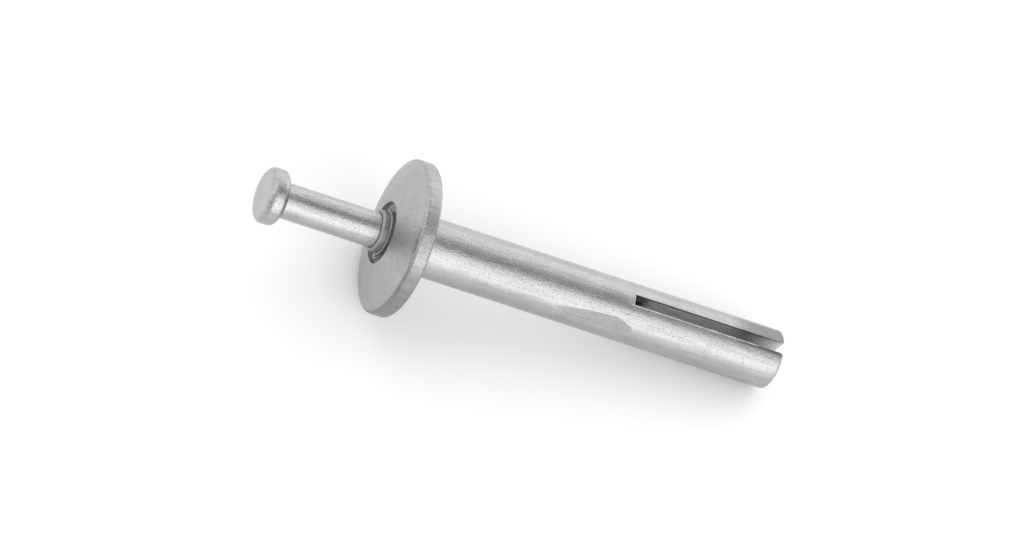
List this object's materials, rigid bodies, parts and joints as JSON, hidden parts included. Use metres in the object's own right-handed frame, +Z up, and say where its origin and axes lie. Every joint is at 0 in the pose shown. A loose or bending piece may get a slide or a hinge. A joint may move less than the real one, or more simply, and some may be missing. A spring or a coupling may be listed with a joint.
{
  "type": "hammer drive anchor",
  "caption": "Hammer drive anchor: a domed-head steel sleeve with a split tip, and a headed drive pin that is hammered home along it to spread the tip.",
  "frame": {"origin": "on the floor, under the middle of the box round the whole anchor", "axes": "+X from the head to the tip, +Z up; the anchor lies on its head rim and on its tip, so its own axis dips 7 degrees below +X; the slot stands upright in the XZ plane"},
  "size_m": [0.0556, 0.0156, 0.0157],
  "materials": {
    "sleeve_steel": "bright zinc-plated cold-formed steel",
    "pin_steel": "bright zinc-plated cold-headed steel"
  },
  "bodies": {
    "sleeve_body": {"sleeve": "sleeve_steel"},
    "pin_body": {"drive_pin": "pin_steel"}
  },
  "joints": [
    {"name": "pin_drive", "type": "slide", "parent": "sleeve_body", "child": "pin_body", "axis": [0.9925, 0, -0.122], "range_m": [0, 0.01]}
  ]
}
